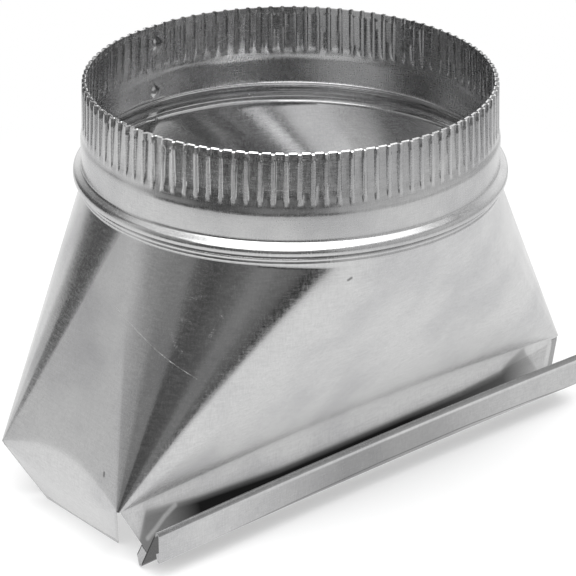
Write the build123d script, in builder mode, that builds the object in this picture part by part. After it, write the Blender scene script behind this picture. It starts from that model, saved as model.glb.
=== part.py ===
from build123d import *
import math
import os

# Register boot: a straight stack boot in thin galvanised sheet. A rectangular stack end, with a
# slip cleat in front and tucked flaps on its other sides, rises and widens into a round collar
# with a lock bead and a crimped end.
# The origin is at the bottom, under the middle of the rectangle. X runs along the long side
# of the rectangle, Y across it and Z up through the collar. All sizes are in millimetres.

# Sheet
sheet = 0.5               # thickness of the body and of the collar
nest_gap = 0.1            # space between sheets that lie one inside the other
lap_width = 12.0          # width of the lap seams

# Rectangular stack end
stack_length = 254.0      # along X, outside
stack_width = 82.55       # along Y, outside
corner_bend = 0.6         # least inside radius of the four corners
bend_height = 25.4        # level at which the panels bend into flaps and flanges

# Flaps, tucked inwards on the two short sides and at the back
flap_foot = 0.2           # height of the lower edge
flap_tuck = 11.5          # how far the lower edge lies in from the bend
flap_notch = 16.4         # how much each side edge runs in towards the lower edge

# Flange, flared outwards on the front side
flange_foot = 0.95        # height of the lower edge
flange_flare = 5.7        # how far the lower edge stands out from the bend
flange_notch = 12.6       # how much each end runs in towards the lower edge

# Transition from the rectangle to the circle
transition_height = 99.4  # from the bend up to the collar's lip
apex_width = 4.0          # short straight top of each flat panel, at the circle

# Collar
collar_radius = 88.9      # outside of the plain wall
collar_height = 47.2      # from the lip to the crimped rim
lip_rise = 0.9            # how far the lip's edge stands out from the plain wall
lip_crest = 1.5           # the same at the lip's crest
lip_width = 4.2           # from the lip's edge up to the groove under the bead
groove_rise = 0.4         # how far the groove stands out from the plain wall
bead_rise = 3.6           # how far the lock bead stands out
bead_width = 5.7          # from the groove up to the plain wall
plain_height = 14.9       # height of the plain wall above the bead
rim_taper = 1.5           # how far the wall leans in from the plain wall to the rim
lip_edge_share = 0.15     # part of the lip's width that its plain edge takes
lip_crest_share = 0.50    # where the lip's crest lies across its width
bead_foot_share = 0.15    # part of the bead's width that its lower flank takes
bead_crest_share = 0.70   # where the bead's upper flank starts across its width
crest_cut = 0.8           # how far the bead's crest is cut back at its two corners
root_foot = 0.6           # how far the wall stands out where the bead's upper flank ends
root_knee = 0.25          # height above the bead at which the run-out into the wall flattens
root_rise = 0.2           # how far the wall stands out at that height
root_height = 1.0         # height above the bead at which the run-out ends
neck_stop = 0.7           # how far the body's raw edge stands above the bead, inside

# Crimped flutes
flute_count = 104
flute_depth = 1.9         # depth of a flute at the rim
flute_foot = 0.5          # depth of its lower end
flute_share = 0.60        # part of the pitch that a flute takes at the wall
floor_share = 0.34        # part of the pitch that the flute's floor takes
flute_spread = 0.6        # how much wider the floor's half is inside, per millimetre of sheet

# Clinch buttons that hold the laps
button_radius = 2.4       # outside radius of a button's foot
button_face = 1.7         # outside radius of its flat face
button_rise = 1.0         # how far the face stands out inside the doubled wall
lap_angle = 89.6          # where the laps' free edge lies, from +X, in degrees
button_inset = 5.2        # from that edge to the line of buttons
rim_button_drop = 9.4     # from the rim down to the upper button
wall_button_rise = 5.3    # from the bead up to the lower button
neck_button_rise = 2.5    # from the lip's edge up to the button in the body's neck

# Slip cleat
cleat_length = 241.3
cleat_sheet = 0.5
fold_radius = 0.6         # of the lower fold, at the middle of the sheet
fold_share = 0.9          # part of that radius which its two rounded corners take
upper_bend = 0.8          # radius of the upper fold's two bends
hem_bend = 0.5            # radius of the hem's two bends
inner_leg = 9.0           # height of the leg behind the flange
top_reach = 10.3          # how far the upper fold stands out from the lower fold
top_height = 21.1         # height of the upper fold
top_width = 2.1           # width of the upper fold
top_fall = 0.4            # how much lower the upper fold's inner bend lies
outer_leg = 14.2          # length of the outer leg
hem_depth = 3.9           # how far the hem turns back up
hem_lean = 1.9            # how far the hem's free edge stands in from the outer leg
leg_clip = 3.0            # clipped corners of the inner leg

# Levels and places that follow from the sizes above
lip_level = bend_height + transition_height
groove_level = lip_level + lip_width
bead_level = groove_level + bead_width
crimp_level = bead_level + plain_height
rim_level = lip_level + collar_height
neck_level = bead_level + neck_stop
lip_radius = collar_radius + lip_rise
neck_inset = sheet + nest_gap
corner_radius = corner_bend + 2 * sheet
neck_radius = lip_radius - neck_inset
flute_pitch = 2 * math.pi * collar_radius / flute_count
lap_turn = math.degrees(lap_width / collar_radius)
button_angle = lap_angle + math.degrees(button_inset / collar_radius)
overrun = 1.0             # how far tools and untrimmed ends run past a face


def wall_form(inset, turn=360):
    """Solid inside the collar wall, with its outline set in by so much and turned about Z."""
    crest = collar_radius + bead_rise
    crest_foot = groove_level + bead_foot_share * bead_width
    crest_top = groove_level + bead_crest_share * bead_width
    lower_flank = (bead_rise - groove_rise) / (crest_foot - groove_level)
    upper_flank = bead_rise / (bead_level - crest_top)
    with BuildPart() as form:
        with BuildSketch(Plane.XZ):
            with BuildLine():
                Polyline(
                    (lip_radius, lip_level),
                    (lip_radius, lip_level + lip_edge_share * lip_width),
                    (collar_radius + lip_crest, lip_level + lip_crest_share * lip_width),
                    (collar_radius + groove_rise, groove_level),
                    (crest - crest_cut, crest_foot - crest_cut / lower_flank),
                    (crest, crest_foot + crest_cut),
                    (crest, crest_top - crest_cut),
                    (crest - crest_cut, crest_top + crest_cut / upper_flank),
                    (collar_radius + root_foot, bead_level - root_foot / upper_flank),
                    (collar_radius + root_rise, bead_level + root_knee),
                    (collar_radius, bead_level + root_height),
                    (collar_radius, crimp_level),
                    (collar_radius - rim_taper, rim_level + overrun),
                )
                if inset:
                    offset(amount=inset, side=Side.LEFT, closed=False, kind=Kind.INTERSECTION)
                ends = vertices().sort_by(Axis.Y)
                Polyline(ends[0], (0, ends[0].Y), (0, ends[-1].Y), ends[-1])
            make_face()
        revolve(axis=Axis.Z, revolution_arc=turn)
    return form.part


def transition_form(inset):
    """Solid between the rectangle and the circle, with flat panels and conical corners."""
    radius = neck_radius - inset
    apex = math.degrees(math.asin(apex_width / 2 / radius))
    with BuildPart() as form:
        with BuildSketch(Plane.XY.offset(bend_height)):
            RectangleRounded(
                stack_length - 2 * inset, stack_width - 2 * inset, corner_radius - inset
            )
        with BuildSketch(Plane.XY.offset(lip_level)):
            with BuildLine():
                for side in range(4):
                    arc = CenterArc((0, 0), radius, 90 * side + apex, 90 - 2 * apex)
                    turn = 90 * (side + 1) + apex
                    Line(
                        arc @ 1,
                        (radius * math.cos(math.radians(turn)), radius * math.sin(math.radians(turn))),
                    )
            make_face()
        loft(ruled=True)
    return form.part


def flute_tool(set_in, reach, top):
    """Prism with a flute's section, whose floor sinks deeper from its lower end up to the rim."""
    slope = (flute_share - floor_share) * flute_pitch / (2 * flute_depth)
    floor = floor_share * flute_pitch / 2 + flute_spread * set_in
    with BuildPart() as prism:
        for level, depth in ((crimp_level - set_in, flute_foot), (top, flute_depth)):
            lean = rim_taper * (level - crimp_level) / (rim_level + overrun - crimp_level)
            wall = collar_radius - lean - set_in
            mouth = floor + slope * (depth + reach)
            with BuildSketch(Plane.XY.offset(level)):
                Polygon(
                    (wall - depth, -floor),
                    (wall + reach, -mouth),
                    (wall + reach, mouth),
                    (wall - depth, floor),
                    align=None,
                )
        loft(ruled=True)
    return prism.part


def button(level, wall_radius, inset):
    """Cap that stands out inside the lap and the hollow that the punch leaves outside it."""
    inward = (-math.cos(math.radians(button_angle)), -math.sin(math.radians(button_angle)), 0)
    foot = Plane(origin=(-wall_radius * inward[0], -wall_radius * inward[1], level), z_dir=inward)
    with BuildPart() as cap:
        with Locations(foot):
            Cone(
                button_radius, button_face, 2 * sheet + button_rise,
                align=(Align.CENTER, Align.CENTER, Align.MIN),
            )
        add(wall_form(inset + sheet / 2), mode=Mode.INTERSECT)
    with BuildPart() as hollow:
        with Locations(foot.offset(-overrun)):
            Cone(
                button_radius - sheet / 2, button_face - sheet,
                overrun + sheet + button_rise,
                align=(Align.CENTER, Align.CENTER, Align.MIN),
            )
    return cap.part, hollow.part


def doubled(inset, low, high):
    """Second layer of sheet inside a wall at the lap, between two levels."""
    with BuildPart() as layer:
        add(wall_form(inset, lap_turn), rotation=(0, 0, lap_angle))
        add(wall_form(inset + sheet), mode=Mode.SUBTRACT)
        split(bisect_by=Plane.XY.offset(high), keep=Keep.BOTTOM)
        split(bisect_by=Plane.XY.offset(low), keep=Keep.TOP)
    return layer.part


def tucked_flap(reach, half_width):
    """Flap on the +X side, bent inwards at a reach and narrowed towards its lower edge."""
    with BuildPart() as flap:
        with BuildSketch(Plane.XZ):
            with BuildLine():
                Polyline(
                    (reach, bend_height),
                    (reach - flap_tuck, flap_foot),
                    (reach - flap_tuck - sheet, flap_foot),
                    (reach - sheet, bend_height),
                    close=True,
                )
            make_face()
        extrude(amount=half_width, both=True)
        with BuildSketch(Plane.YZ):
            with BuildLine():
                Polyline(
                    (half_width - corner_radius, bend_height),
                    (half_width - flap_notch, flap_foot),
                    (flap_notch - half_width, flap_foot),
                    (corner_radius - half_width, bend_height),
                    close=True,
                )
            make_face()
        extrude(amount=reach, mode=Mode.INTERSECT)
    return flap.part


def cleat_form():
    """Slip cleat: a strip with an S section, one fold up and one down."""
    flange_face = -stack_width / 2 - flange_flare
    flange_slope = flange_flare / (bend_height - flange_foot)
    fold = cleat_sheet / 2
    leg_face = flange_face + sheet + nest_gap + fold - flange_slope * (flange_foot - fold)
    inner_top = (leg_face + flange_slope * (inner_leg - fold), inner_leg)
    outer_foot = leg_face - 2 * fold_radius
    top_inner = outer_foot - top_reach
    top_outer = top_inner - top_width
    hem_foot = top_height - outer_leg
    with BuildPart() as form:
        with BuildSketch(Plane.YZ.offset(-cleat_length / 2)):
            with BuildLine():
                FilletPolyline(
                    inner_top,
                    (leg_face, fold),
                    (outer_foot, fold),
                    (top_inner, top_height - fold - top_fall),
                    (top_outer, top_height - fold),
                    (top_outer, hem_foot + fold),
                    (top_outer + 2 * fold_radius, hem_foot + fold),
                    (top_outer + hem_lean, hem_foot + hem_depth),
                    radius=[
                        fold_share * fold_radius, fold_share * fold_radius,
                        upper_bend, upper_bend,
                        hem_bend, hem_bend,
                    ],
                )
                offset(amount=fold, side=Side.BOTH)
            make_face()
        extrude(amount=cleat_length)
        # Clipped corners of the leg behind the flange
        with BuildSketch(Plane.XZ.offset(-leg_face + fold_radius)):
            with Locations((-cleat_length / 2, inner_leg), (cleat_length / 2, inner_leg)):
                Rectangle(leg_clip * math.sqrt(2), leg_clip * math.sqrt(2), rotation=45)
        extrude(amount=-overrun - 2 * inner_leg, mode=Mode.SUBTRACT)
    return form.part


# Transition body: one wrapped sheet with its flaps, flange, neck and lap seam
body_form = transition_form(0)
body_hollow = transition_form(sheet)
lap_hollow = transition_form(2 * sheet)
neck_form = wall_form(neck_inset)
neck_hollow = wall_form(neck_inset + sheet)
neck_lap = doubled(neck_inset + sheet, lip_level, neck_level)
neck_cap, neck_dimple = button(
    lip_level + neck_button_rise, collar_radius + lip_crest - neck_inset, neck_inset
)
lap_edge = collar_radius * math.cos(math.radians(lap_angle))

with BuildPart() as neck:
    add(neck_form)
    add(neck_hollow, mode=Mode.SUBTRACT)
    split(bisect_by=Plane.XY.offset(neck_level), keep=Keep.BOTTOM)
    add(neck_lap)
    add(neck_cap)
    add(neck_dimple, mode=Mode.SUBTRACT)

with BuildPart() as panel_lap:
    add(body_hollow)
    add(lap_hollow, mode=Mode.SUBTRACT)
    with BuildSketch(Plane.XY.offset(bend_height)):
        with Locations((lap_edge - lap_width / 2, stack_width)):
            Rectangle(lap_width, 2 * stack_width)
    extrude(amount=transition_height, mode=Mode.INTERSECT)

with BuildPart() as front_flange:
    with BuildSketch(Plane.YZ):
        with BuildLine():
            Polyline(
                (-stack_width / 2, bend_height),
                (-stack_width / 2 - flange_flare, flange_foot),
                (-stack_width / 2 - flange_flare + sheet, flange_foot),
                (-stack_width / 2 + sheet, bend_height),
                close=True,
            )
        make_face()
    extrude(amount=stack_length / 2, both=True)
    with BuildSketch(Plane.XZ):
        with BuildLine():
            Polyline(
                (stack_length / 2 - corner_radius, bend_height),
                (stack_length / 2 - flange_notch, flange_foot),
                (flange_notch - stack_length / 2, flange_foot),
                (corner_radius - stack_length / 2, bend_height),
                close=True,
            )
        make_face()
    extrude(amount=stack_length, mode=Mode.INTERSECT)

end_flap = tucked_flap(stack_length / 2, stack_width / 2)
back_flap = tucked_flap(stack_width / 2, stack_length / 2)

with BuildPart() as flap_lap:
    add(tucked_flap(stack_width / 2 - sheet, stack_length / 2), rotation=(0, 0, 90))
    with BuildSketch():
        with Locations((lap_edge - lap_width / 2, stack_width / 2)):
            Rectangle(lap_width, stack_width)
    extrude(amount=bend_height, mode=Mode.INTERSECT)

with BuildPart() as transition_body:
    add(body_form)
    add(body_hollow, mode=Mode.SUBTRACT)
    add(panel_lap.part)
    add(flap_lap.part)
    add(neck.part)
    with PolarLocations(0, 2):
        add(end_flap)
    add(back_flap, rotation=(0, 0, 90))
    add(front_flange.part)
transition_body.part.label = "transition_body"

# Collar: one strip, rolled round, lapped at the back, beaded and crimped
collar_form = wall_form(0)
collar_hollow = wall_form(sheet)
collar_lap = doubled(sheet, neck_level + nest_gap, rim_level + overrun)
flute_press = flute_tool(sheet, sheet / 2, rim_level + overrun)
flute_groove = flute_tool(0, overrun, rim_level + 2 * overrun)
wall_cap, wall_dimple = button(bead_level + wall_button_rise, collar_radius, 0)
rim_cap, rim_dimple = button(
    rim_level - rim_button_drop, collar_radius - rim_taper / 2, 0
)

with BuildPart() as collar:
    add(collar_form)
    add(collar_hollow, mode=Mode.SUBTRACT)
    add(collar_lap)
    with PolarLocations(0, flute_count):
        add(flute_press, clean=False)
    with PolarLocations(0, flute_count):
        add(flute_groove, mode=Mode.SUBTRACT, clean=False)
    add(wall_cap)
    add(rim_cap)
    add(wall_dimple, mode=Mode.SUBTRACT)
    add(rim_dimple, mode=Mode.SUBTRACT)
    split(bisect_by=Plane.XY.offset(rim_level), keep=Keep.BOTTOM)
collar.part.label = "collar"

# Slip cleat on the front side
with BuildPart() as front_cleat:
    add(cleat_form())
front_cleat.part.label = "front_cleat"

os.makedirs("parts", exist_ok=True)
export_step(transition_body.part, "parts/transition_body.step")
export_step(collar.part, "parts/collar.step")
export_step(front_cleat.part, "parts/front_cleat.step")
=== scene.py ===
import bpy
import math
import numpy as np
from mathutils import Matrix, Vector


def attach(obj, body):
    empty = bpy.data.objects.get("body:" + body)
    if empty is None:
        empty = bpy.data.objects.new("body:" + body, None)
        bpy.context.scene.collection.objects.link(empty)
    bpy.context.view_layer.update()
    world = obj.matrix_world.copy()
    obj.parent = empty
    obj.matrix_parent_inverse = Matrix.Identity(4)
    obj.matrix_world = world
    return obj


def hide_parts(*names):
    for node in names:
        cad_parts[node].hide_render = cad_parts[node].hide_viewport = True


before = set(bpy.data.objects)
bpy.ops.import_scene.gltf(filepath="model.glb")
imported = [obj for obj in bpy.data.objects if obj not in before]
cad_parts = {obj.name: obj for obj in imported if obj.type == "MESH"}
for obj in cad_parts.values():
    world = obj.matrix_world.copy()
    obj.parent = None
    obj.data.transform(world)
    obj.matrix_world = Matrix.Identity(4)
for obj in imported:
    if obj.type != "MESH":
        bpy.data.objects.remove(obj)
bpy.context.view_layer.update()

# Register boot in thin galvanised sheet: a wrapped transition body with tucked flaps at its ends
# and back and a flared flange in front, a beaded and crimped collar, and a front slip cleat.
# Lengths are in millimetres until they are multiplied by MM. Bare scales and distances in the
# shaders, the lamps and the camera are in metres, as Blender takes them.
MM = 0.001
SHEET = 0.5
NEST = 0.6                 # from the collar's outside to the neck's outside

HALF_LENGTH = 127.0
HALF_WIDTH = 41.275
BEND = 25.4                # height of the bends above the flaps and the flange
LIP = 124.8                # heights of the collar's features, from below
GROOVE = 129.0
BEAD_TOP = 134.7
NECK_TOP = 135.4
CRIMP = 149.6
TICK = 168.4               # where the crimping wheels left their upper mark
RIM = 172.0
WALL = 88.9                # radius of the collar's plain wall
LIP_OUT = 0.9              # how far the lip's lower edge stands out from the wall
NECK_RING = WALL + LIP_OUT - NEST

LAP_EDGE = math.radians(89.6)
LAP_END = math.radians(97.3)
LAP_FADE = math.radians(111.0)
BUTTON_ANGLE = math.radians(93.0)
BUTTON_RADIUS = 2.3
BUTTON_RISE = 1.0
RIM_BUTTON = 162.6
WALL_BUTTON = 140.0
NECK_BUTTON = 127.4


# Meshes

def linked_mesh(name, points, faces, material):
    """Object with a mesh of points in millimetres, linked into the scene."""
    mesh = bpy.data.meshes.new(name)
    mesh.from_pydata((np.asarray(points) * MM).tolist(), [], faces)
    mesh.materials.append(material)
    made = bpy.data.objects.new(name, mesh)
    bpy.context.scene.collection.objects.link(made)
    return made


def mesh_piece(name, points, faces, node, material, crease):
    """Piece of the boot: quads, smooth except across folds and cut edges sharper than a crease
    in degrees."""
    piece = linked_mesh(name, points, faces.tolist(), material)
    piece.data.validate()
    piece.data.shade_smooth()
    piece.data.set_sharp_from_angle(angle=math.radians(crease))
    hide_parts(node)
    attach(piece, "root")
    return piece


def grid_faces(rows, columns, closed_rows=False, closed_columns=False):
    """Quads of a grid of points that is stored row by row."""
    row = np.arange(rows if closed_rows else rows - 1)
    column = np.arange(columns if closed_columns else columns - 1)
    r, c = np.meshgrid(row, column, indexing="ij")
    r1 = (r + 1) % rows
    c1 = (c + 1) % columns
    quads = np.stack([r * columns + c, r * columns + c1, r1 * columns + c1, r1 * columns + c], -1)
    return quads.reshape(-1, 4)


def rounded(corners, cuts, steps):
    """Line through 2-D corners, each corner cut back by so much and bridged by a parabola."""
    corners = np.asarray(corners, float)
    bend = np.linspace(0, 1, steps)[:, None]
    line = [corners[:1]]
    for before, corner, after, cut in zip(corners[:-2], corners[1:-1], corners[2:], cuts):
        start = corner + (before - corner) * cut / np.linalg.norm(before - corner)
        end = corner + (after - corner) * cut / np.linalg.norm(after - corner)
        line.append((1 - bend) ** 2 * start + 2 * bend * (1 - bend) * corner + bend ** 2 * end)
    line.append(corners[-1:])
    return np.concatenate(line)


def inset(line, distance):
    """The same 2-D line moved to its left by a distance, along the normals at its points."""
    run = np.gradient(line, axis=0)
    run /= np.linalg.norm(run, axis=1, keepdims=True)
    return line + distance * np.stack([-run[:, 1], run[:, 0]], -1)


def ease(t):
    """0 below 0, 1 above 1, and a smooth S between them."""
    t = np.clip(t, 0, 1)
    return t * t * (3 - 2 * t)


# Collar

DRAWN = 0.7                # how far the wall is drawn in below the flutes
DRAWN_HEIGHT = 3.4
LEAN = 0.6                 # how far it leans in from there up to the rim
BURR = 0.42                # height of the worn edge of the crimped end
BURR_SLOPE = 0.9           # its run inwards for each millimetre of height

# Flutes: widths are shares of half a pitch, and spreads are the most that one flute differs
FLUTES = 104
FLUTE_SEED = 11
FLANK = 0.20
TROUGH, TROUGH_SPREAD = 0.74, 0.04
TICK_WIDENING, TICK_FADE = 0.08, 1.4
FOOT_FADE, FOOT_SPREAD = 3.4, 0.4
FOOT_DEPTH, DEPTH_GAIN, DEPTH_SPREAD = 0.45, 0.75, 0.06

# Columns within one pitch, close together on the flanks
PITCH_COLUMNS = np.array([0.0, 0.10, 0.16, 0.21, 0.26, 0.5, 0.74, 0.79, 0.84, 0.90])
LAP_STEP = 0.0008          # angle over which the lap's edge steps by a sheet
# Heights of the rows above the bead, close together at buttons, flute ends and wheels' mark
OUTER_ROWS = np.concatenate([
    np.linspace(138.0, 145.6, 5), np.linspace(146.8, 149.6, 4), np.linspace(150.6, 153.2, 3),
    np.linspace(156.5, 166.0, 4), np.linspace(167.8, 169.6, 4), [RIM - BURR],
])
INNER_ROWS = np.concatenate([
    [136.5, 137.3], np.linspace(138.0, 142.0, 6), [143.6, 145.6], np.linspace(146.8, 149.6, 3),
    np.linspace(150.6, 153.2, 3), [156.5, 159.8], np.linspace(160.8, 164.6, 5), [166.4],
    np.linspace(167.8, 169.6, 4), [RIM],
])
BEAD_STEPS = 4
INNER_BEAD_STRIDE = 3      # the bead's inside needs fewer rows


def wall_radius(z):
    """Plain wall, drawn in below the flutes and leaning in above them up to the rim."""
    drawn = DRAWN * ease((z - CRIMP + DRAWN_HEIGHT) / DRAWN_HEIGHT)
    lean = LEAN * np.clip((z - CRIMP) / (RIM - CRIMP), 0, 1)
    return WALL - drawn - lean


def flute_dip(angle, z):
    """Depth of the flutes: a flat-floored trough across the pitch, which fades in from its
    lower end, deepens upwards and widens a little above the wheels' mark. No two flutes are
    quite alike: each has its own depth, width and lower end."""
    turn = angle * FLUTES / (2 * math.pi)
    own = np.random.default_rng(FLUTE_SEED).uniform(-1, 1, (3, FLUTES))
    deep, wide, low = own[:, np.floor(turn).astype(int) % FLUTES]
    across = np.abs(turn % 1.0 - 0.5) * 2
    edge = TROUGH + TROUGH_SPREAD * wide + TICK_WIDENING * ease((z - TICK) / TICK_FADE)
    trough = 1 - ease((across - edge + FLANK) / FLANK)
    up = np.clip((z - CRIMP) / (TICK - CRIMP), 0, 2)
    foot = ease((z - CRIMP - FOOT_SPREAD * low) / FOOT_FADE)
    return trough * foot * (FOOT_DEPTH + DEPTH_GAIN * up) * (1 + DEPTH_SPREAD * deep)


def bump_cap(angle, z, centre_angle, centre_z):
    """Cap of a clinch button: half an ellipsoid."""
    distance = np.hypot((angle - centre_angle) * WALL, z - centre_z)
    return BUTTON_RISE * np.sqrt(np.clip(1 - (distance / BUTTON_RADIUS) ** 2, 0, 1))


def lap_depth(angle):
    """One sheet's thickness from the lap's free edge on, eased away beyond the lap."""
    return SHEET * (angle >= LAP_EDGE) * (1 - ease((angle - LAP_END) / (LAP_FADE - LAP_END)))


def bead_line():
    """Outer profile of lip, groove and lock bead as radius and height, from the lip's edge up."""
    corners = [
        (WALL + LIP_OUT, LIP), (WALL + 1.5, LIP + 1.1), (WALL + 1.1, LIP + 2.1),
        (WALL + 1.5, LIP + 3.0), (WALL + 0.4, GROOVE), (WALL + 3.6, GROOVE + 0.9),
        (WALL + 3.6, GROOVE + 3.9), (WALL, BEAD_TOP), (WALL, BEAD_TOP + 1.5),
    ]
    cuts = [0.5, 0.35, 0.5, 0.45, 0.8, 1.4, 0.8]
    return rounded(corners, cuts, BEAD_STEPS)


def collar_angles():
    """Angles of the grid's columns, the two nearest ones moved to the lap's edge."""
    turns = (np.arange(FLUTES)[:, None] + PITCH_COLUMNS[None, :]).ravel()
    angles = turns * 2 * math.pi / FLUTES
    nearest = np.argmin(np.abs(angles - LAP_EDGE))
    angles[nearest] = LAP_EDGE
    angles[nearest - 1] = LAP_EDGE - LAP_STEP
    return angles


def collar_points():
    """Ring of sections: each column is the sheet's closed outline at one angle, up the outside
    and down the inside, with flutes, lap and buttons as moves along the radius."""
    bead = bead_line()
    worn_edge = [[wall_radius(RIM) - BURR_SLOPE * BURR, RIM]]
    outer = np.concatenate([bead, np.stack([wall_radius(OUTER_ROWS), OUTER_ROWS], -1), worn_edge])
    inner = np.concatenate([
        inset(bead, SHEET)[::INNER_BEAD_STRIDE],
        np.stack([wall_radius(INNER_ROWS) - SHEET, INNER_ROWS], -1),
    ])[::-1]
    section = np.concatenate([outer, inner])
    inside = np.concatenate([np.zeros(len(outer)), np.ones(len(inner))])
    angles = collar_angles()
    z = np.repeat(section[:, 1:], len(angles), 1)
    angle = np.repeat(angles[None, :], len(section), 0)
    radius = section[:, :1] - flute_dip(angle, z)
    radius -= inside[:, None] * lap_depth(angle) * (z > NECK_TOP)
    radius -= np.maximum(
        bump_cap(angle, z, BUTTON_ANGLE, RIM_BUTTON), bump_cap(angle, z, BUTTON_ANGLE, WALL_BUTTON)
    )
    return np.stack([radius * np.cos(angle), radius * np.sin(angle), z], -1)


def build_collar(material):
    """The ring of sections, closed both ways."""
    points = collar_points()
    faces = grid_faces(*points.shape[:2], closed_rows=True, closed_columns=True)
    mesh_piece(
        "collar_sheet_metal", points.reshape(-1, 3), faces, "collar", material, 38
    )


# Transition body

PANEL_COLUMNS = 41
CONE_COLUMNS = 48
FOOT_ROWS = 8
FOLD_ROWS = 7
PANEL_ROWS = 54

CORNER = 1.5               # radius of the rectangle's corners
APEX_HALF = 1.9            # half of a flat panel's short top, along the circle
FIRST_RISE = 0.7           # height of the panels' lowest row above the bend, at the corners
FOLD_SHARE = 0.06          # share of flap or flange that belongs to the fold, at the corners
NECK_FROM = 0.2            # height of the neck's lowest row above the lip
FRONT = 3                  # the side that faces -Y, counted anticlockwise from +X
# Flange and flaps: how far the foot lies outside the side, how much shorter it is at each end,
# its height, and how much more height and share the fold has in the middle
FLANGE = {"out": 5.7, "cut": 12.6, "height": 0.95, "rise": 9.0, "share": 0.34}
FLAP = {"out": -11.5, "cut": 16.4, "height": 0.2, "rise": 10.0, "share": 0.45}
# Where each conical corner was bent harder, as shares of its turn from one panel to the next,
# how flat it is between them, and where up the panel that ends
KINKS = [0.0, 0.17, 0.30, 0.443, 0.53, 0.60, 0.66, 0.78, 0.90, 1.0]
FLATNESS = 0.8
FLAT_UP_TO, FLAT_FADE = 0.45, 0.5
# The front flange's foot and cleat aren't level: height in the middle, what the right end has
# more and the left end less, what both ends have less, and how far out the ends lie
LIFT_MIDDLE, LIFT_TILT, LIFT_BOW, LIFT_END = 3.4, 1.05, 1.45, 120.0
SAG_MIDDLE = 1.6


def lift(x):
    """How far the front flange's foot and its cleat stand up from the level: a parabola along
    their length, tilted."""
    share = np.clip(x / LIFT_END, -1, 1)
    return LIFT_MIDDLE + LIFT_TILT * share - LIFT_BOW * share ** 2


def sag(x):
    """How far the front bend runs below the level of its two ends: a parabola."""
    return SAG_MIDDLE * np.clip(1 - (x / HALF_LENGTH) ** 2, 0, 1)


def side_sizes(side):
    """Half of a side's length and its distance from the middle; the odd sides are the long
    ones, which face +Y and -Y."""
    return (HALF_LENGTH, HALF_WIDTH) if side % 2 == 1 else (HALF_WIDTH, HALF_LENGTH)


def turned(side, parts):
    """Points made for the side that faces +X, turned to another side."""
    turn = side * math.pi / 2
    cos, sin = math.cos(turn), math.sin(turn)
    return [part @ np.array([[cos, sin, 0], [-sin, cos, 0], [0, 0, 1]]) for part in parts]


def panel_columns(side, t):
    """One flat panel's columns for t from -1 to 1, anticlockwise: foot, end of the fold, its
    control point, its start on the panel, and the top on the neck, twice. The fold is a parabola,
    tight at the corners and soft in the middle."""
    middle = 1 - t ** 2
    half, reach = side_sizes(side)
    form = FLANGE if side == FRONT else FLAP
    bowed = 1.0 if side == FRONT else 0.0
    top_reach = math.sqrt(NECK_RING ** 2 - APEX_HALF ** 2)
    slope = (top_reach - reach) / (LIP - BEND)
    along = t * (half - CORNER)
    foot = np.stack([
        reach + form["out"] + 0 * t, t * (half - form["cut"]), form["height"] + bowed * lift(along)
    ], -1)

    def on_panel(z):
        """The columns' points at some heights, on the straight lines from bend to circle."""
        share = (z - BEND) / (LIP - BEND)
        return np.stack([
            reach + slope * (z - BEND), along + (t * APEX_HALF - along) * share, z
        ], -1)

    fold_z = BEND - bowed * sag(along)
    control = on_panel(fold_z)
    start = on_panel(fold_z + FIRST_RISE + form["rise"] * middle)
    end = control + (foot - control) * (FOLD_SHARE + form["share"] * middle)[:, None]
    top = np.stack([top_reach + 0 * t, t * APEX_HALF, LIP + 0 * t], -1)
    return turned(side, (foot, end, control, start, top, top))


def cone_columns(side, t):
    """One corner's columns for t from 0 to 1: a small round corner below and a quarter of the
    neck's circle above, joined by straight lines, with the circle's chords between the kinks."""
    half, reach = side_sizes(side)
    apex = math.asin(APEX_HALF / NECK_RING)
    span = math.pi / 2 - 2 * apex
    low = np.stack([
        reach - CORNER + CORNER * np.cos(t * math.pi / 2),
        half - CORNER + CORNER * np.sin(t * math.pi / 2),
        BEND + 0 * t,
    ], -1)
    angle = apex + t * span
    top = np.stack([NECK_RING * np.cos(angle), NECK_RING * np.sin(angle), LIP + 0 * t], -1)
    start = low + (top - low) * FIRST_RISE / (LIP - BEND)
    kink = apex + np.array(KINKS) * span
    chord = np.stack([
        np.interp(t, KINKS, NECK_RING * np.cos(kink)),
        np.interp(t, KINKS, NECK_RING * np.sin(kink)),
        LIP + 0 * t,
    ], -1)
    return turned(side, (low, low, low, start, top, chord))


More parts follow.
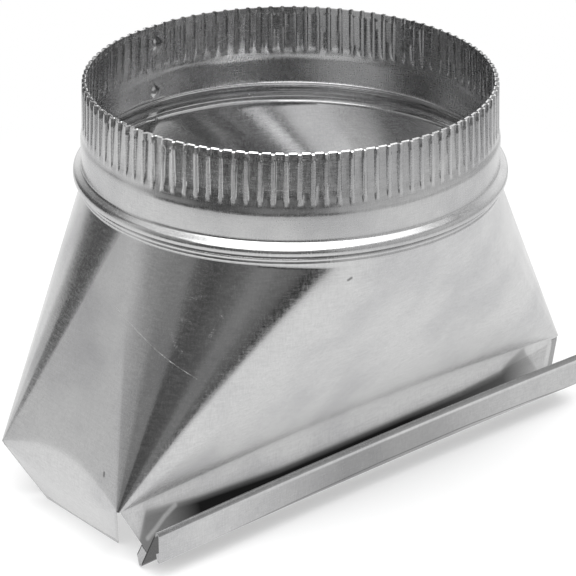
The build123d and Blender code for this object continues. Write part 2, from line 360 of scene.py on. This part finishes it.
def body_points():
    """Outside of the wrapped sheet as rows from the flaps' feet up to the neck's raw edge, and
    a mask of the columns that have flaps or a flange."""
    columns = [[] for _ in range(6)]
    for side in range(4):
        flat = panel_columns(side, np.linspace(-1, 1, PANEL_COLUMNS))
        cone = cone_columns(side, np.linspace(0, 1, CONE_COLUMNS + 2)[1:-1])
        for store, part, corner in zip(columns, flat, cone):
            store += [part, corner]
    foot, end, control, start, top, chord = [np.concatenate(part) for part in columns]
    has_flap = np.tile([True] * PANEL_COLUMNS + [False] * CONE_COLUMNS, 4)
    down = np.linspace(0, 1, FOOT_ROWS)[:-1, None, None]
    low_rows = foot + (end - foot) * down
    turn = np.linspace(0, 1, 2 * FOLD_ROWS + 1)[:-1, None, None]
    fold_rows = (1 - turn) ** 2 * end + 2 * turn * (1 - turn) * control + turn ** 2 * start
    rise = np.linspace(0, 1, PANEL_ROWS)[:, None, None]
    flatness = FLATNESS * (1 - ease((rise - FLAT_UP_TO) / FLAT_FADE))
    panel_rows = start + (top + (chord - top) * flatness - start) * rise
    neck = inset(bead_line(), NEST)
    neck = neck[(neck[:, 1] > LIP + NECK_FROM) & (neck[:, 1] < NECK_TOP)]
    neck = np.concatenate([neck, [[WALL - NEST, NECK_TOP]]])
    angle = np.arctan2(top[:, 1], top[:, 0]) % (2 * math.pi)
    radius = neck[:, :1] - bump_cap(angle[None, :], neck[:, 1:], BUTTON_ANGLE, NECK_BUTTON)
    neck_rows = np.stack([
        radius * np.cos(angle)[None, :], radius * np.sin(angle)[None, :],
        np.repeat(neck[:, 1:], len(angle), 1),
    ], -1)
    return np.concatenate([low_rows, fold_rows, panel_rows, neck_rows]), has_flap


def build_body(material):
    """The rows as a ring, without the faces between the flaps, thickened inwards to a sheet."""
    points, has_flap = body_points()
    rows, columns = points.shape[:2]
    faces = grid_faces(rows, columns, closed_columns=True)
    row, column = faces[:, 0] // columns, faces[:, 0] % columns
    beside = has_flap[column] & has_flap[(column + 1) % columns]
    faces = faces[(row >= FOOT_ROWS - 1 + FOLD_ROWS) | beside]
    used = np.unique(faces)
    place = np.zeros(rows * columns, int)
    place[used] = np.arange(len(used))
    body = mesh_piece(
        "body_sheet_metal", points.reshape(-1, 3)[used], place[faces],
        "transition_body", material, 32
    )
    wall = body.modifiers.new("sheet", "SOLIDIFY")
    wall.thickness = SHEET * MM
    wall.offset = -1
    wall.use_even_offset = False


# Slip cleat

CLEAT_HALF = 120.65
CUT_FROM = 116.4           # where the hidden leg's cut corners begin
CUT_LENGTH, CUT_HEIGHT = 4.25, 4.24
LEG = -46.125              # middle of the hidden leg at its foot, behind the flange
LEG_SLOPE = 5.7 / 25.2     # its run towards the body for each millimetre of height
LEG_FRONT = -46.8          # all points behind this belong to it
LEG_LOW, LEG_RISE = 0.6, 8.4
LEG_LEAN = 0.226           # its slope again, rounded, where it is turned to the lifted flange
PANEL_LEAN = 0.472         # run of the front panel for each millimetre of height
# Middle of the strip from the hidden leg's top, under the flange and up to the outer fold, as
# places across the boot from LEG and heights, and how far its corners are cut back
CLEAT_CORNERS = [
    (LEG_SLOPE * 8.75, 9.0), (0.0, 0.25), (-1.2, 0.25), (-12.1, 21.0), (-13.6, 19.5),
    (-13.6, 7.15), (-12.4, 7.15), (-11.7, 10.8),
]
CLEAT_CUTS = [0.55, 0.55, 0.5, 0.5, 0.5, 0.5]
CLEAT_STEPS = 6


def cleat_section():
    """Closed outline of the S-shaped strip, as places across the boot and heights."""
    middle = rounded([(LEG + out, z) for out, z in CLEAT_CORNERS], CLEAT_CUTS, CLEAT_STEPS)
    return np.concatenate([inset(middle, -SHEET / 2), inset(middle, SHEET / 2)[::-1]])


def build_cleat(material):
    """The S section carried along X and lifted with the flange, whose slope the hidden leg
    follows; that leg's corners are cut."""
    section = cleat_section()
    x = np.concatenate([
        np.linspace(-CLEAT_HALF, -CUT_FROM, 6), np.linspace(-110, 110, 45),
        np.linspace(CUT_FROM, CLEAT_HALF, 6),
    ])
    y = np.repeat(section[:, :1], len(x), 1)
    z = np.repeat(section[:, 1:], len(x), 1)
    share = np.where(y > LEG_FRONT, np.clip((z - LEG_LOW) / LEG_RISE, 0, 1), 0)
    cut = share * CUT_HEIGHT * np.clip((np.abs(x) - CUT_FROM) / CUT_LENGTH, 0, 1)
    flange_run = FLANGE["out"] + PANEL_LEAN * sag(x)
    flange_rise = BEND - FLANGE["height"] - sag(x) - lift(x)
    z = z - cut
    y = y + share * (flange_run / flange_rise - LEG_LEAN) * z - cut * LEG_LEAN
    z = z + lift(x)
    points = np.stack([np.repeat(x[None, :], len(section), 0), y, z], -1)
    rows, columns = points.shape[:2]
    sides = grid_faces(rows, columns, closed_rows=True)[:, ::-1]
    near = np.arange(rows // 2)
    far = rows - 1 - near
    cap = np.stack([near[:-1], near[1:], far[1:], far[:-1]], -1) * columns
    faces = np.concatenate([sides, cap[:, ::-1], cap + columns - 1])
    strip = mesh_piece(
        "front_cleat_strip", points.reshape(-1, 3), faces, "front_cleat", material,
        35
    )
    # The photo's front panel mirrors no cleat, so mirror rays pass it
    strip.visible_glossy = False


# Materials

def colour(code):
    """Linear RGBA of an sRGB hex colour."""
    parts = [int(code[i:i + 2], 16) / 255 for i in (1, 3, 5)]
    return [c / 12.92 if c <= 0.04045 else ((c + 0.055) / 1.055) ** 2.4 for c in parts] + [1.0]


def node(tree, kind, settings=None, links=None):
    """A node of a kind, with its settings and socket values, and links into its sockets."""
    made = tree.nodes.new(kind)
    for key, value in (settings or {}).items():
        if isinstance(key, int):
            made.inputs[key].default_value = value
        elif key in made.inputs and not hasattr(made, key):
            made.inputs[key].default_value = value
        else:
            setattr(made, key, value)
    for key, source in (links or {}).items():
        tree.links.new(source, made.inputs[key])
    return made


def empty_tree(owner):
    """Emptied node tree of a material or world."""
    owner.use_nodes = True
    owner.node_tree.nodes.clear()
    return owner.node_tree


def ramp(tree, source, stops, smooth=True):
    """Colour ramp over grey or coloured stops."""
    made = node(tree, "ShaderNodeValToRGB", {}, {0: source})
    made.color_ramp.interpolation = "EASE" if smooth else "LINEAR"
    while len(made.color_ramp.elements) < len(stops):
        made.color_ramp.elements.new(0.5)
    for element, (place, value) in zip(made.color_ramp.elements, stops):
        element.position = place
        element.color = value if isinstance(value, list) else [value, value, value, 1.0]
    return made.outputs[0]


def blend(tree, share, under, over):
    """Colour that goes from one to another by a share; each is a socket or a constant."""
    made = node(tree, "ShaderNodeMix", {"data_type": "RGBA"}, {0: share})
    for socket, value in ((6, under), (7, over)):
        if isinstance(value, list):
            made.inputs[socket].default_value = value
        else:
            tree.links.new(value, made.inputs[socket])
    return made.outputs[2]


def strokes(tree, where, lines, half_width, strength):
    """A strength on some broken lines, given by their points in millimetres, and 0 past a half
    width: the distance to each straight piece is that to the nearest point on it, and the least
    one counts."""
    least = None
    for line in lines:
        for start, end in zip(line[:-1], line[1:]):
            first = Vector(start) * MM
            along = Vector(end) * MM - first
            away = node(tree, "ShaderNodeVectorMath", {"operation": "SUBTRACT", 1: first},
                        {0: where}).outputs[0]
            share = node(tree, "ShaderNodeVectorMath",
                         {"operation": "DOT_PRODUCT", 1: along / along.length_squared},
                         {0: away}).outputs["Value"]
            share = node(tree, "ShaderNodeClamp", {}, {0: share}).outputs[0]
            nearest = node(tree, "ShaderNodeVectorMath", {"operation": "SCALE", 0: along},
                           {"Scale": share}).outputs[0]
            gap = node(tree, "ShaderNodeVectorMath", {"operation": "DISTANCE"},
                       {0: away, 1: nearest}).outputs["Value"]
            least = gap if least is None else node(
                tree, "ShaderNodeMath", {"operation": "MINIMUM"}, {0: least, 1: gap}).outputs[0]
    return node(tree, "ShaderNodeMapRange",
                {"From Min": half_width * MM, "From Max": 0.3 * half_width * MM,
                 "To Max": strength}, {"Value": least}).outputs[0]


def place_and_height(tree, parts, levels):
    """Place along the boot from its left end (0) to its right (1), and the height over an edge
    that changes along it, in units of LEVEL_UNIT."""
    along = node(tree, "ShaderNodeMapRange",
                 {"From Min": -HALF_LENGTH * MM, "From Max": HALF_LENGTH * MM},
                 {"Value": parts[0]}).outputs[0]
    height = node(tree, "ShaderNodeMath", {"operation": "MULTIPLY", 1: 1 / (LEVEL_UNIT * MM)},
                  {0: parts[2]}).outputs[0]
    level = ramp(tree, along, levels, smooth=False)
    over = node(tree, "ShaderNodeMath", {"operation": "SUBTRACT"}, {0: height, 1: level})
    return along, over.outputs[0]


GRAIN_PITCH, GRAIN_LENGTH = 0.625, 4.0
LEVEL_UNIT = 50.0
# Painted reflection and shade along the front flange, the dark of the cleat's shaded pocket that
# the flange would mirror, by place along the boot: its upper edge in units of LEVEL_UNIT, its
# tone, and how it thickens from a height above that edge (0) to one below it (1)
FLANGE_SHADE_ABOVE, FLANGE_SHADE_BELOW = 15.0, 5.0
FLANGE_SHADE_LEVELS = [
    (0.031, 0.25), (0.053, 0.46), (0.16, 0.40), (0.33, 0.36), (0.75, 0.383), (0.848, 0.412),
    (0.905, 0.56), (0.935, 0.30),
]
FLANGE_SHADE_TONES = [
    (0.03, 0.20), (0.09, 0.16), (0.16, 0.01), (0.62, 0.01), (0.85, 0.09), (0.93, 0.40),
]
FLANGE_SHADE_EDGE = [(0.0, 0.0), (0.50, 0.12), (0.68, 0.24), (0.75, 0.38), (0.83, 0.84), (0.92, 1.0)]
# Where across the boot the painted reflection begins and is full, and the lighter streak painted
# into it at its left end
FLANGE_FROM, FLANGE_FULL = -40.0, -41.2
PAINTED_LIGHT_STREAK = [[
    (-98.7, -42.4, 19.6), (-104.6, -43.1, 17.0), (-110.0, -44.0, 13.7), (-114.8, -44.7, 11.1),
]]

# Marks on the body, each a broken line
SCRATCH = [[
    (-99.6, -5.9, 97.5), (-100.5, -16.6, 94.4), (-100.5, -26.4, 90.9), (-99.8, -34.0, 87.7),
    (-98.3, -40.8, 84.9), (-96.0, -46.5, 82.2), (-93.3, -51.5, 79.6),
]]
SCUFFS = [
    [(-94.8, -36.4, 96.4), (-95.5, -40.3, 91.3), (-94.6, -43.6, 89.2)],
    [(-87.3, -40.1, 108.8), (-83.4, -45.0, 111.1)],
    [(-84.5, -51.8, 98.8), (-88.2, -50.5, 92.8)],
    [(-91.4, -38.7, 101.5), (-88.5, -45.3, 99.9)],
    [(-77.2, -52.0, 114.4), (-74.8, -54.1, 116.2)],
    [(-81.3, -51.8, 105.8), (-81.0, -53.0, 103.4)],
]
# Painted shade: dark marks that stand for the shade in two small dents
DENT_SHADE_MARKS = [
    [(-123.1, -27.0, 35.6), (-122.7, -26.6, 36.8)],
    [(-38.3, -80.6, 117.0), (-36.9, -80.8, 117.8)],
]

# Cleat: where its inner pocket lies across the boot, and how much painted shade darkens the outer
# leg's middle, by place along the boot
POCKET = (-57.8, -47.2)
POCKET_FADE = 1.0
LEG_PAINTED_SHADE = [(0.17, 0.0), (0.42, 0.48), (0.60, 0.46), (0.85, 0.15)]
# The bright line under its top fold, by place along the boot, in units of LEVEL_UNIT; the heights
# over it between which the painted shade below and the painted darker fold above come in; the
# painted shade line at the hem's edge
FOLD_LEVELS = [
    (0.025, 0.396), (0.185, 0.421), (0.343, 0.438), (0.50, 0.448), (0.66, 0.452), (0.82, 0.449),
    (0.97, 0.440),
]
LEG_SHADE_FROM, LEG_SHADE_FULL = -0.4, -1.2
FOLD_FROM, FOLD_FULL = 0.2, 0.8
HEM_SHADE_LINE = [[
    (-118.0, -60.0, 7.6), (-80.0, -60.0, 9.3), (-40.0, -60.0, 11.0), (0.0, -60.0, 12.2),
    (50.0, -60.0, 12.5), (90.0, -60.0, 11.6), (118.0, -60.0, 10.2),
]]


def body_wear_and_painted_shade(tree, where, parts, base, roughness):
    """Painted reflection and shade where the front flange goes down into the cleat: a dark band
    for the cleat's shaded pocket that the flange would mirror, below an edge that changes along
    the boot and lighter towards both ends, with a lighter streak painted into it; the scratch and
    the scuffs that handling left; and dark marks that paint the shade in the dings that handling
    left. They show one used boot, not a fresh sheet."""
    along, over = place_and_height(tree, parts, FLANGE_SHADE_LEVELS)
    tone = ramp(tree, along, FLANGE_SHADE_TONES, smooth=False)
    under = node(tree, "ShaderNodeMapRange",
                 {"From Min": FLANGE_SHADE_ABOVE / LEVEL_UNIT, "From Max": -FLANGE_SHADE_BELOW / LEVEL_UNIT},
                 {"Value": over}).outputs[0]
    under = ramp(tree, under, FLANGE_SHADE_EDGE, smooth=False)
    front = node(tree, "ShaderNodeMapRange",
                 {"From Min": FLANGE_FROM * MM, "From Max": FLANGE_FULL * MM},
                 {"Value": parts[1]}).outputs[0]
    share = node(tree, "ShaderNodeMath", {"operation": "MULTIPLY"}, {0: under, 1: front})
    # Painted reflection and shade: the flange darkened below the edge, for the cleat's shaded
    # pocket it would mirror
    base = blend(tree, share.outputs[0], base, tone)
    # Painted reflection: a lighter streak inside that dark band
    base = blend(tree, strokes(tree, where, PAINTED_LIGHT_STREAK, 1.6, 0.6), base, colour("#B0B0B0"))
    # Pits 2.4 mm apart, in which scratch and scuffs bite unevenly, so they look broken up
    pits = node(tree, "ShaderNodeTexNoise", {"Scale": 420.0, "Detail": 3.0},
                {"Vector": where}).outputs["Fac"]
    bite = node(tree, "ShaderNodeMapRange", {"From Min": 0.25, "From Max": 0.75},
                {"Value": pits}).outputs[0]
    rubbed = node(tree, "ShaderNodeMath", {"operation": "MAXIMUM"}, {
        0: strokes(tree, where, SCRATCH, 0.30, 0.75), 1: strokes(tree, where, SCUFFS, 1.0, 0.2)
    }).outputs[0]
    rubbed = node(tree, "ShaderNodeMath", {"operation": "MULTIPLY"},
                  {0: rubbed, 1: bite}).outputs[0]
    # Rubbed zinc is lighter and rougher
    base = blend(tree, rubbed, base, colour("#F2F2F2"))
    roughness = node(tree, "ShaderNodeMath", {"operation": "MULTIPLY_ADD", 1: 0.45},
                     {0: rubbed, 2: roughness}).outputs[0]
    # Painted shade: dark marks for the two dents
    base = blend(tree, strokes(tree, where, DENT_SHADE_MARKS, 0.8, 0.7), base, colour("#4A4A4A"))
    return base, roughness


def collar_painted_highlight(tree, where, parts, base, roughness):
    """Painted highlight: the crimped end's top edge is lightened, which draws the rim as a thin
    light line.
    """
    edge = node(tree, "ShaderNodeMapRange",
                {"From Min": (RIM - BURR - 0.05) * MM, "From Max": (RIM - BURR + 0.05) * MM},
                {"Value": parts[2]}).outputs[0]
    # Painted highlight on the rim's top edge
    return blend(tree, edge, base, colour("#F6F6F6")), roughness


def cleat_painted_shade(tree, where, parts, base, roughness):
    """Painted shade inside the pocket; an outer leg darker along its middle, a painted reflection
    of the floor's shade, up to the bright line under its top fold, which is painted darker; and a
    painted shade line along its hem's edge."""
    near, past = [
        node(tree, "ShaderNodeMapRange",
             {"From Min": edge * MM, "From Max": (edge + fade) * MM},
             {"Value": parts[1]}).outputs[0]
        for edge, fade in zip(POCKET, (POCKET_FADE, -POCKET_FADE))
    ]
    pocket_shade = node(tree, "ShaderNodeMath", {"operation": "MULTIPLY"}, {0: near, 1: past}).outputs[0]
    # Painted shade: the inner pocket darkened
    base = blend(tree, pocket_shade, base, colour("#2C2C2C"))
    along, over = place_and_height(tree, parts, FOLD_LEVELS)
    below = node(tree, "ShaderNodeMapRange",
                 {"From Min": LEG_SHADE_FROM / LEVEL_UNIT, "From Max": LEG_SHADE_FULL / LEVEL_UNIT},
                 {"Value": over}).outputs[0]
    fold = node(tree, "ShaderNodeMapRange",
                {"From Min": FOLD_FROM / LEVEL_UNIT, "From Max": FOLD_FULL / LEVEL_UNIT,
                 "To Max": 0.42}, {"Value": over}).outputs[0]
    share = node(tree, "ShaderNodeMath", {"operation": "MULTIPLY_ADD"},
                 {0: ramp(tree, along, LEG_PAINTED_SHADE, smooth=False), 1: below, 2: fold}).outputs[0]
    # Painted shade: the outer leg darker along its middle and its top fold darker, leaving a
    # bright line between
    base = blend(tree, share, base, colour("#404040"))
    # Painted shade: a dark line along the hem's edge
    base = blend(tree, strokes(tree, where, HEM_SHADE_LINE, 0.3, 0.6), base, colour("#303030"))
    return base, roughness


def rolled_sheet(name, tone, worn, rough, wear_and_painted_light):
    """Bare galvanised sheet, skin-passed: a grey zinc surface, half bright, with a fine grain
    from the rolls and faint clouds of dulling. They give the eye metal that mirrors softly and
    unevenly. The last argument adds what use has left on one piece, and the light and shade
    painted on it."""
    material = bpy.data.materials.new(name)
    tree = empty_tree(material)
    where = node(tree, "ShaderNodeTexCoord").outputs["Object"]
    parts = node(tree, "ShaderNodeSeparateXYZ", {}, {0: where}).outputs
    # Roll grain both ways: lines 0.6 mm apart and 4 mm long, the finest that the render shows
    along, across = 1 / (GRAIN_LENGTH * MM), 1 / (GRAIN_PITCH * MM)
    grains = []
    for scale in ((along, along, across), (across, across, along)):
        stretched = node(tree, "ShaderNodeMapping", {"Scale": scale}, {"Vector": where})
        grains.append(node(tree, "ShaderNodeTexNoise",
                           {"Scale": 1.0, "Detail": 3.0, "Roughness": 0.65},
                           {"Vector": stretched.outputs[0]}).outputs["Fac"])
    grain = node(tree, "ShaderNodeMath", {"operation": "ADD"},
                 {0: grains[0], 1: grains[1]}).outputs[0]
    # Clouds of handling and storage, about 45 mm across, darker and duller in places
    clouds = node(tree, "ShaderNodeTexNoise", {"Scale": 22.0, "Detail": 4.0, "Roughness": 0.55},
                  {"Vector": where}).outputs["Fac"]
    base = ramp(tree, clouds, [(0.32, colour(worn)), (0.62, colour(tone))])
    speckle = node(tree, "ShaderNodeMapRange",
                   {"From Min": 0.75, "From Max": 1.25, "To Min": 0.91, "To Max": 1.08},
                   {"Value": grain}).outputs[0]
    base = node(tree, "ShaderNodeVectorMath", {"operation": "SCALE"},
                {0: base, "Scale": speckle}).outputs[0]
    dulling = node(tree, "ShaderNodeMapRange",
                   {"From Min": 0.3, "From Max": 0.7, "To Min": rough + 0.05,
                    "To Max": rough - 0.03}, {"Value": clouds}).outputs[0]
    streaks = node(tree, "ShaderNodeMapRange",
                   {"From Min": 0.75, "From Max": 1.25, "To Min": -0.04, "To Max": 0.06},
                   {"Value": grain}).outputs[0]
    roughness = node(tree, "ShaderNodeMath", {"operation": "ADD"},
                     {0: dulling, 1: streaks}).outputs[0]
    base, roughness = wear_and_painted_light(tree, where, parts, base, roughness)
    fine = node(tree, "ShaderNodeBump", {"Strength": 0.05, "Distance": 0.0002},
                {"Height": grain}).outputs[0]
    shader = node(tree, "ShaderNodeBsdfPrincipled", {"Metallic": 1.0},
                  {"Base Color": base, "Roughness": roughness, "Normal": fine})
    node(tree, "ShaderNodeOutputMaterial", {}, {"Surface": shader.outputs[0]})
    return material


# Studio

RING_POINTS = 96
FLOOR_RINGS = np.array([1.0, 300.0, 520.0])
WALL_DISTANCE = 1500.0
WALL_LEVELS = np.array([-400.0, 0.0, 400.0, 800.0, 1600.0])
WALL_STRENGTH = 1.5
# Bearing from -X anticlockwise (0 and 1 are -X, 0.25 is -Y, 0.5 is +X, 0.75 is +Y), and tone
WALL_TONES = [
    (0.00, 0.10), (0.035, 0.06), (0.075, 0.11), (0.105, 0.20), (0.14, 0.14), (0.165, 0.12),
    (0.185, 0.20), (0.205, 0.45), (0.45, 0.52), (0.56, 0.80), (0.70, 0.80), (0.77, 0.08),
    (0.856, 0.07), (0.874, 0.52), (0.90, 0.48), (0.935, 0.26), (0.975, 0.20),
]
# The same for the part of the wall that lies below the floor's level
SKIRT_TONES = [
    (0.00, 0.03), (0.20, 0.03), (0.23, 0.40), (0.50, 0.45), (0.75, 0.60), (0.915, 0.60),
    (0.95, 0.05),
]
LAMP_AIM = Vector((0, 0, 0.08))
# The photo's camera, found by fitting the boot's known sizes: sensor and lens in millimetres,
# the rest in metres or as directions
SENSOR_WIDTH, LENS = 36.0, 176.756
CLIP_END = 20.0
CAMERA_PLACE = (-0.72308, -0.84660, 0.59493)
CAMERA_RIGHT = (0.76100, -0.64875, 0.0)
CAMERA_UP = (0.27525, 0.32288, 0.90553)
CAMERA_AHEAD = (0.58746, 0.68911, -0.42428)


def seen_rays(tree, path):
    """1 for rays from the camera, off mirrors and through glass, and 0 for the lighting ones."""
    seen = path["Is Camera Ray"]
    for kind in ("Is Glossy Ray", "Is Transmission Ray"):
        seen = node(tree, "ShaderNodeMath", {"operation": "MAXIMUM"},
                    {0: seen, 1: path[kind]}).outputs[0]
    return seen


def ring_points(radii, levels):
    """Rings of points round the Z axis, one for each radius and height."""
    turns = np.linspace(0, 2 * math.pi, RING_POINTS + 1)[:-1]
    radii, levels = radii[:, None] + 0 * turns, levels[:, None] + 0 * turns
    return np.stack([radii * np.cos(turns), radii * np.sin(turns), levels], -1).reshape(-1, 3)


def studio_floor():
    """Pale floor, which keeps the shadow near the boot and runs out into the white backdrop."""
    material = bpy.data.materials.new("matt_white_board")
    tree = empty_tree(material)
    where = node(tree, "ShaderNodeTexCoord").outputs["Object"]
    distance = node(tree, "ShaderNodeVectorMath", {"operation": "LENGTH"},
                    {0: where}).outputs["Value"]
    far = node(tree, "ShaderNodeMapRange",
               {"From Min": 0.18, "From Max": 0.40, "interpolation_type": "SMOOTHSTEP"},
               {"Value": distance}).outputs[0]
    path = node(tree, "ShaderNodeLightPath").outputs
    # White has a share of 0.4 right up to the boot, and 0.85 in mirrors: the shadow stays light
    least = node(tree, "ShaderNodeMath", {"operation": "MULTIPLY_ADD", 1: 0.45, 2: 0.4},
                 {0: path["Is Glossy Ray"]}).outputs[0]
    far = node(tree, "ShaderNodeMath", {"operation": "MAXIMUM"}, {0: far, 1: least}).outputs[0]
    share = node(tree, "ShaderNodeMath", {"operation": "MULTIPLY"},
                 {0: far, 1: seen_rays(tree, path)}).outputs[0]
    board = node(tree, "ShaderNodeBsdfDiffuse", {"Color": colour("#F4F4F4")}).outputs[0]
    white = node(tree, "ShaderNodeEmission",
                 {"Color": colour("#FFFFFF"), "Strength": 1.0}).outputs[0]
    mixed = node(tree, "ShaderNodeMixShader", {}, {0: share, 1: board, 2: white}).outputs[0]
    node(tree, "ShaderNodeOutputMaterial", {}, {"Surface": mixed})
    points = np.concatenate([ring_points(FLOOR_RINGS, 0 * FLOOR_RINGS), [[0, 0, 0]]])
    faces = grid_faces(len(FLOOR_RINGS), RING_POINTS, closed_columns=True).tolist()
    hub = len(points) - 1
    faces += [[i, (i + 1) % RING_POINTS, hub] for i in range(RING_POINTS)]
    linked_mesh("studio_floor", points, faces, material)


def studio_walls():
    """Round studio wall that only reflections see: grey and dark stretches between light ones,
    which give the sheet the photo's stripes."""
    material = bpy.data.materials.new("studio_wall_grey")
    tree = empty_tree(material)
    where = node(tree, "ShaderNodeTexCoord").outputs["Object"]
    parts = node(tree, "ShaderNodeSeparateXYZ", {}, {0: where}).outputs
    bearing = node(tree, "ShaderNodeMath", {"operation": "ARCTAN2"},
                   {0: parts[1], 1: parts[0]}).outputs[0]
    turn = node(tree, "ShaderNodeMapRange", {"From Min": -math.pi, "From Max": math.pi},
                {"Value": bearing}).outputs[0]
    high = node(tree, "ShaderNodeMapRange", {"From Min": 1.0, "From Max": 1.5},
                {"Value": parts[2]}).outputs[0]
    low = node(tree, "ShaderNodeMapRange", {"From Min": -0.02, "From Max": 0.02},
               {"Value": parts[2]}).outputs[0]
    tone = blend(tree, high, ramp(tree, turn, WALL_TONES), colour("#8A8A8A"))
    tone = blend(tree, low, ramp(tree, turn, SKIRT_TONES), tone)
    glow = node(tree, "ShaderNodeEmission", {"Strength": WALL_STRENGTH}, {"Color": tone})
    node(tree, "ShaderNodeOutputMaterial", {}, {"Surface": glow.outputs[0]})
    points = ring_points(WALL_DISTANCE + 0 * WALL_LEVELS, WALL_LEVELS)
    faces = grid_faces(len(WALL_LEVELS), RING_POINTS, closed_columns=True).tolist()
    wall = linked_mesh("studio_wall", points, faces, material)
    wall.visible_camera = False
    wall.visible_diffuse = False
    wall.visible_shadow = False
    wall.visible_transmission = False


def studio_world():
    """White backdrop where it is seen, and an even, slightly weaker light elsewhere."""
    world = bpy.data.worlds.new("white_backdrop")
    tree = empty_tree(world)
    soft, white = [
        node(tree, "ShaderNodeBackground",
             {"Color": colour("#FFFFFF"), "Strength": strength}).outputs[0]
        for strength in (0.85, 1.0)
    ]
    seen = seen_rays(tree, node(tree, "ShaderNodeLightPath").outputs)
    mixed = node(tree, "ShaderNodeMixShader", {}, {0: seen, 1: soft, 2: white}).outputs[0]
    node(tree, "ShaderNodeOutputWorld", {}, {"Surface": mixed})
    bpy.context.scene.world = world


def soft_lamp(name, place, size, power):
    """Square softbox that faces the boot, in metres and watts."""
    lamp = bpy.data.lights.new(name, "AREA")
    lamp.shape = "SQUARE"
    lamp.size = size
    lamp.energy = power
    made = bpy.data.objects.new(name, lamp)
    made.location = place
    made.rotation_euler = (LAMP_AIM - Vector(place)).to_track_quat("-Z", "Y").to_euler()
    bpy.context.scene.collection.objects.link(made)


def photo_camera():
    """Camera at the photograph's place and angle."""
    camera = bpy.data.cameras.new("camera")
    camera.sensor_width = SENSOR_WIDTH
    camera.lens = LENS
    camera.clip_end = CLIP_END
    made = bpy.data.objects.new("camera", camera)
    turn = Matrix((Vector(CAMERA_RIGHT), Vector(CAMERA_UP), -Vector(CAMERA_AHEAD))).transposed()
    made.matrix_world = Matrix.Translation(CAMERA_PLACE) @ turn.to_4x4()
    bpy.context.scene.collection.objects.link(made)
    bpy.context.scene.camera = made


build_body(rolled_sheet("galvanised_sheet_body", "#C9C9C9", "#BBBBBC", 0.17, body_wear_and_painted_shade))
build_collar(rolled_sheet("galvanised_sheet_collar", "#C8C8C8", "#B8B8B9", 0.22, collar_painted_highlight))
build_cleat(rolled_sheet("galvanised_strip_cleat", "#C8C8C8", "#B8B8B9", 0.20, cleat_painted_shade))

studio_floor()
studio_walls()
studio_world()
soft_lamp("key_softbox", place=(-0.62, -0.36, 1.15), size=1.2, power=11.0)
soft_lamp("overhead_softbox", place=(0.05, -0.10, 1.20), size=1.0, power=6.0)
photo_camera()

bpy.context.scene.view_settings.view_transform = "Standard"
